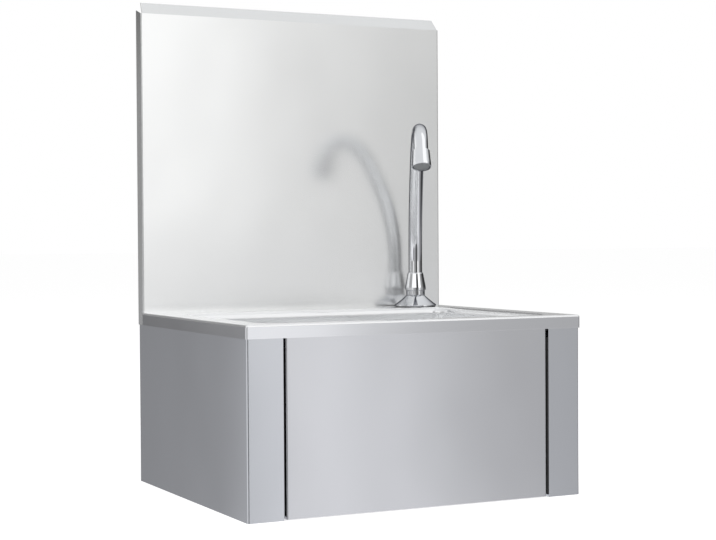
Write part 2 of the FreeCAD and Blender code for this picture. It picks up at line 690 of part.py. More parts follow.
def make_knee_panel():
    """Front panel that hangs on the hinge rod and is pushed in with the knee."""
    body = new_body("knee_panel")
    inner = panel_half - gauge
    plan = [(-panel_half, panel_front), (panel_half, panel_front), (panel_half, panel_rear),
            (inner, panel_rear), (inner, panel_front + gauge), (-inner, panel_front + gauge),
            (-inner, panel_rear), (-panel_half, panel_rear)]
    foot = size("panel_foot")
    add_block(body, "XY_Plane", foot, plan, panel_top - foot)
    round_edges(body, size("bend") / 2, lambda edge: is_upright(edge)
                and near(abs(edge.Vertexes[0].X), panel_half) and near(edge.Vertexes[0].Y, panel_front))
    lip = rectangle(-inner, inner, panel_front + gauge, panel_front + size("panel_bottom_lip"))
    add_block(body, "XY_Plane", foot, lip, gauge)
    ear_top = pivot_z + size("ear_half")
    for side in (-1, 1):
        hook = rectangle(panel_half * side, (panel_half + size("hook_width")) * side,
                         panel_rear - gauge, panel_rear)
        add_block(body, "XY_Plane", size("hook_bottom"), hook, size("hook_top") - size("hook_bottom"))
        lift = inner if side > 0 else -panel_half
        ear = rectangle(pivot_y - size("ear_half"), pivot_y + size("ear_half"), panel_top, ear_top)
        add_block(body, "YZ_Plane", lift, ear, gauge)
        round_edges(body, size("ear_half") / 2, lambda edge: near(edge.Length, gauge)
                    and near(middle(edge).z, ear_top) and near(middle(edge).x * side, inner + gauge / 2))
        cut_disc(body, "YZ_Plane", lift, pivot_y, pivot_z, size("bush_diameter") / 2, gauge, against=True)


# ---------------------------------------------------------------- hinge of the knee panel

rod_end = strip_edge + gauge + size("bracket_gauge") + size("rod_nut_length")
hinge_bracket_foot = pivot_z + size("ear_half") - size("hinge_bracket_height")


def make_hinge():
    rod = new_body("hinge_rod")
    add_disc(rod, "YZ_Plane", -rod_end, pivot_y, pivot_z, rod_radius, rod_end * 2)
    for name, side in (("left", -1), ("right", 1)):
        bracket = new_body(f"hinge_bracket_{name}")
        plate = size("bracket_gauge")
        leg = size("hinge_bracket_leg")
        near_x = strip_edge + gauge
        near_y = skin_front + gauge
        plan = [(near_x, near_y), (near_x + leg, near_y), (near_x + leg, near_y + plate),
                (near_x + plate, near_y + plate), (near_x + plate, near_y + leg), (near_x, near_y + leg)]
        add_block(bracket, "XY_Plane", hinge_bracket_foot, [(x * side, y) for x, y in plan],
                  size("hinge_bracket_height"))
        lift = near_x if side > 0 else -(near_x + plate)
        bore = rod_radius + size("rod_fit")
        cut_disc(bracket, "YZ_Plane", lift, pivot_y, pivot_z, bore, plate, against=True)

        bush = new_body(f"hinge_bush_{name}")
        shank = size("bush_diameter") / 2
        collar = size("bush_collar") / 2
        inner_end = -gauge - size("bush_inner_length")
        outer_end = size("slot_width") - size("side_play")
        turn(bush, [(bore, inner_end), (collar, inner_end), (collar, -gauge), (shank, -gauge),
                    (shank, 0), (collar, 0), (collar, outer_end), (bore, outer_end)])
        place(bush, panel_half * side, pivot_y, pivot_z, TO_RIGHT if side > 0 else TO_LEFT)


def grouped_solids(name, pieces):
    group = doc.addObject("Part::Compound", name)
    group.Label = name
    group.Links = pieces
    doc.recompute()
    NODES.append(group)
    return group


def hexagonal_nut(name, flats, height, bore):
    """A loose nut whose own axis is Z, made of a prism less a bore."""
    prism = doc.addObject("Part::Prism", f"{name}_prism")
    prism.Polygon = 6
    bind(prism, "Circumradius", size(flats) / size(math.sqrt(3)))
    bind(prism, "Height", height)
    hole = doc.addObject("Part::Cylinder", f"{name}_bore")
    bind(hole, "Radius", bore)
    bind(hole, "Height", height)
    nut = doc.addObject("Part::Cut", f"{name}_nut")
    nut.Base = prism
    nut.Tool = hole
    return nut


def make_hinge_nuts():
    nuts = []
    for side, direction in ((-1, TO_LEFT), (1, TO_RIGHT)):
        nut = hexagonal_nut(f"rod_{side}", size("rod_nut_flats"), size("rod_nut_length"), rod_radius)
        place(nut, (strip_edge + gauge + size("bracket_gauge")) * side, pivot_y, pivot_z, direction)
        nuts.append(nut)
    grouped_solids("hinge_nuts", nuts)


def make_edge_buffer(name, side):
    """Rubber channel on the slot's folded edge; the knee panel's hook rests against it."""
    body = new_body(name)
    edge_rear = skin_front + size("slot_return")
    rubber = size("buffer_wall")
    front = edge_rear - size("buffer_grip")
    rear = panel_rear - gauge - size("rest_gap")
    plan = [(strip_edge - rubber, front), (strip_edge, front), (strip_edge, edge_rear),
            (strip_edge + gauge, edge_rear), (strip_edge + gauge, front),
            (strip_edge + gauge + rubber, front), (strip_edge + gauge + rubber, rear),
            (strip_edge - rubber, rear)]
    foot = size("buffer_foot")
    add_block(body, "XY_Plane", foot, [(x * side, y) for x, y in plan],
              hinge_bracket_foot - size("buffer_gap") - foot)


# ---------------------------------------------------------------- pusher on the knee panel

pusher_face = panel_front + gauge + size("pusher_rise")
button_tip = pusher_face + size("pusher_nut_length") + size("pad_thickness") + size("rest_gap")


def make_pusher():
    body = new_body("pusher_bracket")
    plate = size("bracket_gauge")
    base = panel_front + gauge
    half = size("pusher_width") / 2
    toe = half + size("pusher_flange")
    plan = [(valve_x - toe, base), (valve_x - half + plate, base),
            (valve_x - half + plate, pusher_face - plate), (valve_x + half - plate, pusher_face - plate),
            (valve_x + half - plate, base), (valve_x + toe, base), (valve_x + toe, base + plate),
            (valve_x + half, base + plate), (valve_x + half, pusher_face),
            (valve_x - half, pusher_face), (valve_x - half, base + plate), (valve_x - toe, base + plate)]
    height = size("pusher_height")
    add_block(body, "XY_Plane", valve_z - height / 2, plan, height)
    thread = size("pusher_thread") / 2
    cut_disc(body, "XZ_Plane", -(pusher_face - plate), valve_x, valve_z, thread, plate)

    bolt = new_body("pusher_bolt")
    bolt_front = base + plate
    bolt_rear = pusher_face + size("pusher_nut_length") + size("pad_thickness") / 2
    add_disc(bolt, "XZ_Plane", -bolt_front, valve_x, valve_z, thread, bolt_rear - bolt_front, against=True)

    nut = new_body("pusher_locknut")
    add_block(nut, "XZ_Plane", -pusher_face, hexagon("pusher_nut_flats", valve_x, valve_z),
              size("pusher_nut_length"), against=True)
    cut_disc(nut, "XZ_Plane", -pusher_face, valve_x, valve_z, thread, size("pusher_nut_length"))

    cap = new_body("pusher_pad")
    cap_front = pusher_face + size("pusher_nut_length")
    add_disc(cap, "XZ_Plane", -cap_front, valve_x, valve_z, size("pad_diameter") / 2,
             size("pad_thickness"), against=True)
    cut_disc(cap, "XZ_Plane", -cap_front, valve_x, valve_z, thread, size("pad_thickness") / 2)


# ---------------------------------------------------------------- self-closing valve

cap_face = button_tip + size("button_thickness") + size("button_stroke") + size("rest_gap")
nose_front = cap_face + size("cap_length")
bracket_face = nose_front + size("nose_length")
chamber_end = bracket_face + size("valve_length") - size("valve_end_wall")
piston_rear = chamber_end - size("button_stroke") - size("spring_wire") * (size("spring_turns") + 2)
inlet_y = bracket_face + size("inlet_setback")


def make_valve_bracket():
    """Bar across the body on the side panels' lips, with an upright tab for the valve."""
    body = new_body("valve_bracket")
    plate = size("bracket_gauge")
    bar_end = skin_side - gauge - size("bracket_end_gap")
    bar = rectangle(-bar_end, bar_end, bracket_face - plate, bracket_face - plate + size("bracket_depth"))
    add_block(body, "XY_Plane", gauge, bar, plate)
    half = size("bracket_tab") / 2
    tab = rectangle(valve_x - half, valve_x + half, gauge + plate, floor_under - size("tab_headroom"))
    add_block(body, "XZ_Plane", -bracket_face, tab, plate)
    cut_disc(body, "XZ_Plane", -(bracket_face - plate), valve_x, valve_z,
             size("nose_diameter") / 2 + size("skin_gap"), plate)
    for x, y in screw_places():
        cut_disc(body, "XY_Plane", gauge + plate, x, y, size("screw_thread") / 2, plate)


def screw_places():
    x = skin_side - size("bottom_lip") / 2
    centre = bracket_face - size("bracket_gauge") + size("bracket_depth") / 2
    half = size("screw_spread") / 2
    return [(x * side, centre + half * step) for side in (-1, 1) for step in (-1, 1)]


def make_bracket_screws():
    screws = []
    for x, y in screw_places():
        shank = doc.addObject("Part::Cylinder", "screw_shank")
        bind(shank, "Radius", size("screw_thread") / 2)
        bind(shank, "Height", size("bracket_gauge"))
        place(shank, x, y, gauge)
        head = doc.addObject("Part::Cylinder", "screw_head")
        bind(head, "Radius", size("screw_head") / 2)
        bind(head, "Height", size("screw_head_height"))
        place(head, x, y, gauge + size("bracket_gauge"))
        screw = doc.addObject("Part::Fuse", "screw")
        screw.Base = shank
        screw.Tool = head
        screws.append(screw)
    grouped_solids("bracket_screws", screws)


def make_valve():
    body = new_body("valve_body")
    outer = size("valve_radius")
    nose = size("nose_diameter") / 2
    chamber = size("chamber_diameter") / 2
    port = size("port_diameter") / 2
    bore = size("port_bore") / 2
    rear = size("valve_length")
    port_end = rear + size("port_length")
    turn(body, [(chamber, -size("nose_length")), (nose, -size("nose_length")), (nose, 0), (outer, 0),
                (outer, rear), (port, rear), (port, port_end), (bore, port_end),
                (bore, rear - size("valve_end_wall")), (chamber, rear - size("valve_end_wall"))])
    round_edges(body, size("valve_edge"), lambda edge: near(edge.Length, outer * 2 * math.pi))
    boss_end = outer + size("inlet_boss")
    add_disc(body, "YZ_Plane", chamber, 0, size("inlet_setback"), size("inlet_diameter") / 2,
             boss_end - chamber)
    cut_disc(body, "YZ_Plane", chamber / 2, 0, size("inlet_setback"), size("tee_bore") / 2,
             boss_end - chamber / 2, against=True)
    place(body, valve_x, bracket_face, valve_z, TO_WALL)

    cap = new_body("valve_cap")
    stem = size("stem_diameter") / 2 + size("stem_fit")
    chamfer = size("cap_chamfer")
    front = -size("cap_length")
    turn(cap, [(stem, front), (nose - chamfer, front), (nose, front + chamfer), (nose, 0), (chamber, 0),
               (chamber, size("cap_plug")), (stem, size("cap_plug"))])
    place(cap, valve_x, nose_front, valve_z, TO_WALL)

    nut = new_body("valve_locknut")
    add_block(nut, "XY_Plane", 0, hexagon("valve_nut_flats"), size("valve_nut_length"))
    cut_disc(nut, "XY_Plane", size("valve_nut_length"), 0, 0, nose, size("valve_nut_length"))
    place(nut, valve_x, bracket_face - size("bracket_gauge") - size("valve_nut_length"), valve_z, TO_WALL)

    button = new_body("valve_button")
    rod = size("stem_diameter") / 2
    head = size("button_diameter") / 2
    thick = size("button_thickness")
    piston = chamber - size("piston_fit")
    groove = piston - size("seal_wire") / 2
    back = piston_rear - button_tip
    face = back - size("piston_thickness")
    seal_front = face + (size("piston_thickness") - size("seal_wire")) / 2
    dome = size("button_dome")
    dome_radius = (head * head + dome * dome) / (dome * 2)
    turn(button, [(0, 0), (head, dome), (head, thick), (rod, thick), (rod, face),
                  (piston, face), (piston, seal_front), (groove, seal_front),
                  (groove, seal_front + size("seal_wire")), (piston, seal_front + size("seal_wire")),
                  (piston, back), (0, back)], {0: (dome_radius, 1)})
    place(button, valve_x, button_tip, valve_z, TO_WALL)

    seal = new_body("valve_seal")
    outside = chamber - size("stem_fit")
    turn(seal, [(groove, 0), (outside, 0), (outside, size("seal_wire")), (groove, size("seal_wire"))])
    place(seal, valve_x, button_tip + seal_front, valve_z, TO_WALL)


def make_spring():
    """Return spring between the piston and the end of the valve's chamber."""
    body = new_body("valve_spring")
    wire = size("spring_wire") / 2
    radius = size("spring_diameter") / 2 - wire
    free = chamber_end - piston_rear - size("spring_wire")
    sketch = new_sketch(body, "XZ_Plane")
    draw_circle(sketch, radius, 0, wire)
    coil = body.newObject("PartDesign::AdditiveHelix", "helix")
    coil.Profile = sketch
    coil.ReferenceAxis = (origin_feature(body, "Z_Axis"), [""])
    coil.Mode = "height-turns-angle"
    bind(coil, "Height", free)
    bind(coil, "Turns", size("spring_turns"))
    doc.recompute()
    place(body, valve_x, piston_rear + wire, valve_z, TO_WALL)


def make_tee():
    """Mixing tee with a cold and a hot branch, each with a check valve."""
    body = new_body("mixing_tee")
    outer = size("inlet_diameter") / 2
    bore = size("tee_bore") / 2
    first = size("tee_first")
    second = first + size("tee_pitch")
    end = second + outer
    branch = size("tee_branch")
    add_disc(body, "XY_Plane", 0, 0, 0, outer, end)
    for along in (first, second):
        add_disc(body, "XZ_Plane", 0, 0, along, size("branch_diameter") / 2, branch, against=True)
    cut_disc(body, "XY_Plane", end - outer / 3, 0, 0, bore, end - outer / 3)
    for along in (first, second):
        cut_disc(body, "XZ_Plane", 0, 0, along, size("branch_bore") / 2, branch)
    place(body, valve_x + size("valve_radius") + size("inlet_boss"), inlet_y, valve_z, TO_RIGHT)


def make_check_valve(name, along):
    """Check valve on a branch of the tee, ending in the thread for a supply hose."""
    body = new_body(name)
    add_block(body, "XY_Plane", 0, hexagon("check_flats"), size("check_body"))
    add_disc(body, "XY_Plane", size("check_body"), 0, 0, size("supply_thread") / 2,
             size("supply_thread_length"))
    length = size("check_body") + size("supply_thread_length")
    cut_disc(body, "XY_Plane", length, 0, 0, size("branch_bore") / 2, length)
    place(body, valve_x + size("valve_radius") + size("inlet_boss") + along,
          inlet_y + size("tee_branch"), valve_z, TO_WALL)


# ---------------------------------------------------------------- hose from the valve to the spout

spout_x = half_width - size("spout_side")
spout_y = splash - size("spout_setback")
shank_foot = deck_top - size("shank_length")
port_end = bracket_face + size("valve_length") + size("port_length")


def make_hose_nut(name, x, y, z, rotation):
    """Hexagonal nut that grips a port and closes round the hose."""
    body = new_body(name)
    length = size("hose_nut_length")
    grip = size("hose_nut_grip")
    add_block(body, "XY_Plane", 0, hexagon("hose_nut_flats"), length)
    cut_disc(body, "XY_Plane", length, 0, 0, size("hose_diameter") / 2, length)
    cut_disc(body, "XY_Plane", grip, 0, 0, size("port_diameter") / 2, grip)
    place(body, x, y, z, rotation)


ARC_SHARE = 0.45


def rounded_route(points):
    """Straight runs joined by tangent arcs; each arc is as large as its two runs allow."""
    edges = []
    radii = []
    last = points[0]
    for before, corner, after in zip(points, points[1:], points[2:]):
        arrive = (corner - before).normalize()
        leave = (after - corner).normalize()
        half_turn = arrive.getAngle(leave) / 2
        reach = ARC_SHARE * min((corner - before).Length, (after - corner).Length)
        radii.append(reach / math.tan(half_turn))
        start = corner - arrive * reach
        finish = corner + leave * reach
        inward = (leave - arrive).normalize()
        depth = radii[-1] / math.cos(half_turn) - radii[-1]
        edges.append(Part.LineSegment(last, start).toShape())
        edges.append(Part.Arc(start, corner + inward * depth, finish).toShape())
        last = finish
    edges.append(Part.LineSegment(last, points[-1]).toShape())
    return Part.Wire(edges), radii


def make_hose():
    start = V(float(valve_x), float(port_end), float(valve_z))
    finish = V(float(spout_x), float(spout_y), float(shank_foot))
    points = [start, start + V(0, 42, 0), start + V(7, 92, -7), start + V(27, 140, -5),
              finish + V(-2, -4.5, -94), finish + V(0, 0, -44), finish]
    route, radii = rounded_route(points)
    outer_radius = sheet.get("hose_diameter") / 2
    inner_radius = sheet.get("hose_bore") / 2
    along = points[1] - points[0]
    tubes = []
    for radius in (outer_radius, inner_radius):
        section = Part.Wire([Part.Circle(start, along, radius).toShape()])
        tubes.append(route.makePipeShell([section], True, False))
    hose = tubes[0].cut(tubes[1])
    expected = math.pi * (outer_radius ** 2 - inner_radius ** 2) * route.Length
    print("hose bend radii:", [round(radius, 1) for radius in radii])
    print("hose volume / section x length:", round(hose.Volume / expected, 4))
    feature = doc.addObject("Part::Feature", "spout_hose")
    feature.Label = "spout_hose"
    feature.Shape = hose
    feature.Placement = FreeCAD.Placement()
    NODES.append(feature)


# ---------------------------------------------------------------- waste

seat_top = floor_under - size("recess_depth") + gauge
seat_under = seat_top - gauge
plate_under = seat_top + size("gasket_thickness")
body_top = seat_under - size("gasket_thickness")
neck_end = body_top - size("strainer_throat")


def make_ring(name, z, outer, inner, height):
    body = new_body(name)
    add_disc(body, "XY_Plane", 0, 0, 0, outer, height)
    cut_disc(body, "XY_Plane", height, 0, 0, inner, height)
    place(body, 0, drain_y, z)
    return body


def make_waste():
    hole = size("waste_hole") / 2
    edge = size("flange_diameter") / 2
    make_ring("gasket_upper", seat_top, edge - size("gasket_inset"), hole, size("gasket_thickness"))
    make_ring("gasket_lower", body_top, size("drain_collar") / 2, hole, size("gasket_thickness"))
    thread = size("strainer_screw_thread") / 2

    plate = new_body("strainer_plate")
    thick = size("flange_thickness")
    spigot = hole - size("rest_gap")
    spigot_bore = spigot - size("spigot_wall")
    spigot_end = -(size("gasket_thickness") + gauge)
    turn(plate, [(thread, 0), (spigot_bore, 0), (spigot_bore, spigot_end), (spigot, spigot_end),
                 (spigot, 0), (edge, 0), (edge, thick / 2), (edge - thick / 2, thick), (thread, thick)],
         {6: (thick / 2, 1)})
    before = plate.Shape.Volume
    drill = cut_disc(plate, "XY_Plane", thick, "strainer_ring", 0, size("strainer_hole") / 2, thick)
    ring = plate.newObject("PartDesign::PolarPattern", "holes")
    ring.Originals = [drill]
    ring.Axis = (origin_feature(plate, "Z_Axis"), [""])
    ring.Angle = 360
    bind(ring, "Occurrences", "strainer_count")
    plate.Tip = ring
    doc.recompute()
    if plate.Shape.Volume >= before:
        raise RuntimeError("the strainer has no holes")
    place(plate, 0, drain_y, plate_under)

    lower = new_body("drain_body")
    collar = size("drain_collar") / 2
    neck = size("waste_thread") / 2
    bore = size("waste_bore") / 2
    height = size("strainer_throat")
    rim = size("drain_collar_height")
    turn(lower, [(bore, -height), (neck, -height), (neck, -rim), (collar, -rim), (collar, 0), (bore, 0)])
    bar = size("drain_bar") / 2
    reach = (bore + neck) / 2
    add_block(lower, "XY_Plane", -rim, rectangle(-reach, reach, -bar, bar), rim)
    cut_disc(lower, "XY_Plane", 0, 0, 0, thread, rim)
    place(lower, 0, drain_y, body_top)

    screw = new_body("strainer_screw")
    head = size("strainer_screw_head") / 2
    foot = -(plate_under - body_top + thick + rim)
    rise = size("strainer_screw_rise")
    turn(screw, [(0, foot), (thread, foot), (thread, 0), (head, 0), (head - rise, rise), (0, rise)],
         {3: (rise, 1)})
    half = size("strainer_screw_slot") / 2
    cut_block(screw, "XY_Plane", rise, rectangle(-head, head, -half, half), size("strainer_screw_cut"))
    place(screw, 0, drain_y, plate_under + thick)

    tail = new_body("drain_tail")
    outer = size("tail_diameter") / 2
    slim = outer - size("tail_relief")
    shoulder = size("tail_collar")
    nut_foot = neck_end - shoulder * 2
    length = neck_end - size("tail_foot")
    bore = outer - size("tail_wall")
    step = nut_foot - size("tail_relief") - size("tail_foot")
    turn(tail, [(bore, 0), (outer, 0), (outer, step), (slim, step), (slim, length - shoulder),
                (neck, length - shoulder), (neck, length), (bore, length)])
    place(tail, 0, drain_y, "tail_foot")

    nut = new_body("drain_nut")
    height = size("drain_nut_height")
    add_block(nut, "XY_Plane", 0, hexagon("drain_nut_diameter"), height)
    cut_disc(nut, "XY_Plane", height, 0, 0, slim, height)
    cut_disc(nut, "XY_Plane", height, 0, 0, neck, height - shoulder)
    place(nut, 0, drain_y, nut_foot)


# ---------------------------------------------------------------- swan-neck spout

base_foot = deck_top + size("base_gasket")
base_top = base_foot + size("base_height")
tube_foot = base_top + size("tube_seal") + size("rest_gap")
spout_angle = -(size("swing_angle") + 90)


def at_spout(body, z):
    """Stand a body on the spout's axis, its own +X axis pointing the way of the spout."""
    place(body, spout_x, spout_y, z, FreeCAD.Rotation(V(0, 0, 1), float(spout_angle)))
    bind(body, "Placement.Rotation.Angle", spout_angle)


def make_spout_base():
    gasket = new_body("base_gasket")
    shank = size("shank_diameter") / 2
    foot = size("base_diameter") / 2
    ring = size("ring_diameter") / 2
    edge = foot - size("base_gasket_inset")
    turn(gasket, [(shank, 0), (edge, 0), (edge, size("base_gasket")), (shank, size("base_gasket"))])
    at_spout(gasket, deck_top)

    bell = new_body("spout_base")
    height = size("base_height")
    turn(bell, [(shank, 0), (foot, 0), (foot, size("base_foot")), (ring, height), (shank, height)],
         {2: (size("base_flare"), -1)})
    at_spout(bell, base_foot)

    knurled = new_body("base_ring")
    bore = size("tube_diameter") / 2 + size("tube_fit")
    height = size("ring_height")
    chamfer = size("ring_chamfer")
    turn(knurled, [(bore, 0), (ring - chamfer, 0), (ring, chamfer), (ring, height - chamfer),
                   (ring - chamfer, height), (bore, height)])
    before = knurled.Shape.Volume
    half = size("knurl_width") / 2
    groove = cut_block(knurled, "XY_Plane", height, rectangle(ring - half, ring + half, -half, half), height)
    knurl = knurled.newObject("PartDesign::PolarPattern", "knurl")
    knurl.Originals = [groove]
    knurl.Axis = (origin_feature(knurled, "Z_Axis"), [""])
    knurl.Angle = 360
    bind(knurl, "Occurrences", "knurl_count")
    knurled.Tip = knurl
    doc.recompute()
    if knurled.Shape.Volume >= before:
        raise RuntimeError("the ring has no knurl")
    at_spout(knurled, base_top)

    collar = new_body("swivel_collar")
    lower = size("collar_diameter") / 2
    upper = size("collar_top") / 2
    height = size("collar_height")
    lip = size("collar_lip")
    turn(collar, [(bore, 0), (lower, 0), (lower, size("collar_band")), (upper, height - lip),
                  (upper - lip / 2, height), (bore, height)])
    at_spout(collar, base_top + size("ring_height"))

    seal = new_body("tube_seal")
    inside = size("shank_bore") / 2
    outside = size("tube_diameter") / 2
    thick = size("tube_seal")
    turn(seal, [(inside, 0), (outside, 0), (outside, thick), (inside, thick)])
    at_spout(seal, base_top)


def spout_line():
    """Points and arcs of the tube's centreline, as (reach, height above the tube's foot)."""
    points = [(size(0), size(0)), (size(0), deck_top + size("riser_height") - tube_foot)]
    arcs = {}
    heading = size(0)
    bends = [("lean_radius", "lean_angle", "lean_run"), ("crown_radius", "crown_angle", None),
             ("nose_radius", "nose_angle", "nose_run")]
    for radius, angle, run in bends:
        radius, angle = size(radius), size(angle)
        x, z = points[-1]
        arcs[len(points) - 1] = (radius, -1)
        points.append((x + radius * (cosine(heading) - cosine(angle)),
                       z + radius * (sine(angle) - sine(heading))))
        heading = angle
        if run:
            x, z = points[-1]
            points.append((x + size(run) * sine(heading), z + size(run) * cosine(heading)))
    return points, arcs


def make_spout_tube():
    body = new_body("spout_tube")
    points, arcs = spout_line()
    path = new_sketch(body, "XZ_Plane")
    draw_path(path, points, arcs, closed=False)
    section = new_sketch(body, "XY_Plane")
    radius = size("tube_diameter") / 2
    draw_circle(section, 0, 0, radius)
    draw_circle(section, 0, 0, radius - size("tube_wall"))
    pipe = body.newObject("PartDesign::AdditivePipe", "pipe")
    pipe.Profile = section
    pipe.Spine = path
    doc.recompute()
    at_spout(body, tube_foot)


def turn_at_mouth(body, start, points):
    """Turn an outline of (radius, distance) about the axis of the tube's end."""
    x, z = spout_line()[0][-1]
    angle = size("nose_angle")
    along_x, along_z = sine(angle), cosine(angle)
    x, z = x + along_x * start, z + along_z * start
    sketch = new_sketch(body, "XZ_Plane")
    draw_path(sketch, [(x + along_x * h + along_z * r, z + along_z * h - along_x * r)
                       for r, h in ((size(r), size(h)) for r, h in points)])
    end_x, end_z = x + along_x * size("aerator_length"), z + along_z * size("aerator_length")
    axis = sketch.addGeometry(Part.LineSegment(V(float(x), float(z), 0),
                                               V(float(end_x), float(end_z), 0)), True)
    pin(sketch, axis, 1, x, z)
    pin(sketch, axis, 2, end_x, end_z)
    feature = body.newObject("PartDesign::Revolution", "revolution")
    feature.Profile = sketch
    feature.ReferenceAxis = (sketch, ["Axis0"])
    feature.Angle = 360
    doc.recompute()
    at_spout(body, tube_foot)


def make_aerator():
    tube = size("tube_diameter") / 2
    neck = size("aerator_neck") / 2
    mouth = size("aerator_diameter") / 2
    insert = size("insert_diameter") / 2
    socket = size("aerator_socket")
    length = size("aerator_length")
    bore = tube - size("tube_wall")
    seat = length - size("insert_thickness") - size("insert_recess")
    housing = new_body("aerator_housing")
    band = length - size("aerator_band")
    turn_at_mouth(housing, size(0), [(tube, -socket), (neck, -socket), (mouth, band), (mouth, length),
                                     (insert, length), (insert, seat), (bore, seat), (bore, 0), (tube, 0)])
    core = new_body("aerator_insert")
    turn_at_mouth(core, seat, [(0, 0), (insert, 0), (insert, size("insert_thickness")),
                               (0, size("insert_thickness"))])


def make_shank():
    shank = new_body("spout_shank")
    bore = size("shank_bore") / 2
    port = size("port_diameter") / 2
    outer = size("shank_diameter") / 2
    height = base_top - shank_foot
    turn(shank, [(bore, 0), (port, 0), (port, size("shank_port")), (outer, size("shank_port")),
                 (outer, height), (bore, height)])
    at_spout(shank, shank_foot)

    washer = new_body("shank_washer")
    thick = size("washer_thickness")
    turn(washer, [(outer, 0), (size("washer_diameter") / 2, 0), (size("washer_diameter") / 2, thick),
                  (outer, thick)])
    at_spout(washer, deck_top - gauge - thick)

    nut = new_body("shank_nut")
    height = size("shank_nut_length")
    add_block(nut, "XY_Plane", 0, hexagon("shank_nut_flats"), height)
    cut_disc(nut, "XY_Plane", height, 0, 0, outer, height)
    at_spout(nut, deck_top - gauge - thick - height)


# ---------------------------------------------------------------- the whole sink

def make_sink():
    make_back_panel()
    make_deck()
    make_bowl()
    make_side_panel("side_panel_left", -1)
    make_side_panel("side_panel_right", 1)
    make_knee_panel()
    make_hinge()
    make_hinge_nuts()
    make_edge_buffer("edge_buffer_left", -1)
    make_edge_buffer("edge_buffer_right", 1)
    make_pusher()
    make_valve_bracket()
    make_bracket_screws()
    make_valve()
    make_spring()
    make_tee()
    make_check_valve("check_valve_cold", size("tee_first"))
    make_check_valve("check_valve_hot", size("tee_first") + size("tee_pitch"))
    make_hose_nut("hose_nut_valve", valve_x, port_end - size("hose_nut_grip"), valve_z, TO_WALL)
    make_hose_nut("hose_nut_spout", spout_x, spout_y, shank_foot + size("hose_nut_grip"), UPSIDE_DOWN)
    make_hose()
    make_waste()
    make_spout_base()
    make_spout_tube()
    make_aerator()
    make_shank()


def check_and_write():
    doc.recompute()
    for thing in doc.Objects:
        if "Invalid" in thing.State or "Error" in thing.State:
            raise RuntimeError(f"{thing.Name} failed: {thing.State}")
    for node in NODES:
        if node.Shape.isNull() or not node.Shape.isValid():
            raise RuntimeError(f"{node.Label} has no valid shape")
    os.makedirs("parts", exist_ok=True)
    for node in NODES:
        node.Shape.exportStep(f"parts/{node.Label}.step")
    print(len(NODES), "nodes written")


make_sink()
check_and_write()
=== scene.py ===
import json
import math

import bpy
from mathutils import Matrix, Vector


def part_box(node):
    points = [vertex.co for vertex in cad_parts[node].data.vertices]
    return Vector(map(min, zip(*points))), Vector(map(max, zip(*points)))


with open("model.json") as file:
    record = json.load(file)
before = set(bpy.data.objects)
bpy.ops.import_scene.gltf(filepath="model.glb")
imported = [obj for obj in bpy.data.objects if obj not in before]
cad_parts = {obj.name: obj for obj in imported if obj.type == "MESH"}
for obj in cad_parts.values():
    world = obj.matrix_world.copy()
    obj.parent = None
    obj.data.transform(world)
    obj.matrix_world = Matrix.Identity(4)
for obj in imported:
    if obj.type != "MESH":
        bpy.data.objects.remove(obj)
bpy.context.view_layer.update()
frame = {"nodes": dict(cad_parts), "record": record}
nodes = frame["nodes"]

# ---------------------------------------------------------------- camera

CAMERA_PLACE = Vector((-0.8172, -1.6654, 0.2866))
CAMERA_YAW = math.radians(-26.37)
CAMERA_PITCH = math.radians(1.14)
CAMERA_ROLL = math.radians(-0.35)
FOCAL_PIXELS = 1618.5
IMAGE_WIDTH = 716
SENSOR_WIDTH = 36.0
NEAREST = 0.05
FARTHEST = 200


def make_camera():
    """The photograph's viewpoint, from yaw, pitch and roll of a level camera."""
    yaw, pitch, roll = CAMERA_YAW, CAMERA_PITCH, CAMERA_ROLL
    back = Vector((math.sin(yaw) * math.cos(pitch), -math.cos(yaw) * math.cos(pitch), math.sin(pitch)))
    right = (-back).cross(Vector((0, 0, 1))).normalized()
    up = right.cross(-back)
    rolled_right = math.cos(roll) * right + math.sin(roll) * up
    rolled_up = -math.sin(roll) * right + math.cos(roll) * up
    data = bpy.data.cameras.new("camera")
    data.sensor_width = SENSOR_WIDTH
    data.lens = FOCAL_PIXELS * SENSOR_WIDTH / IMAGE_WIDTH
    data.clip_start = NEAREST
    data.clip_end = FARTHEST
    camera = bpy.data.objects.new("camera", data)
    camera.matrix_world = Matrix.Translation(CAMERA_PLACE) @ Matrix(
        (rolled_right, rolled_up, back)).transposed().to_4x4()
    bpy.context.scene.collection.objects.link(camera)
    bpy.context.scene.camera = camera


make_camera()
bpy.context.scene.view_settings.view_transform = "Standard"

# ---------------------------------------------------------------- materials

# Height of a face's unit normal from which the face counts as looking up, for the painted light on
# tops.
LOOKS_UP = 0.4
# Where a colour ramp starts to leave its dark end and reaches its light end.
RAMP_DARK = 0.3
RAMP_LIGHT = 0.7

# Noise scales are in waves per metre, and depths of relief in metres.
TONE_SCALE = 6
TONE_DRIFT = 0.975
GRAIN_SCALE = 2600
GRAIN_ROUGHNESS = (0.9, 1.1)
GRAIN_STRENGTH = 0.03
GRAIN_DEPTH = 0.0001
WAVE_SCALE = 7
WAVE_DEPTH = 0.0004

CHROME_SCALE = 40
CHROME_TONES = ((0.83, 0.84, 0.86), (0.87, 0.88, 0.90))
CHROME_ROUGHNESS = (0.05, 0.09)
# Near-black edge tint of the chrome: painted shade along the edges that turn away.
CHROME_PAINTED_EDGE_SHADE = (0.15, 0.15, 0.17, 1)

MOTTLE_SCALE = 120
MOTTLE_ROUGHNESS = 0.05
MOULD_SCALE = 700
MOULD_STRENGTH = 0.05
MOULD_DEPTH = 0.0002


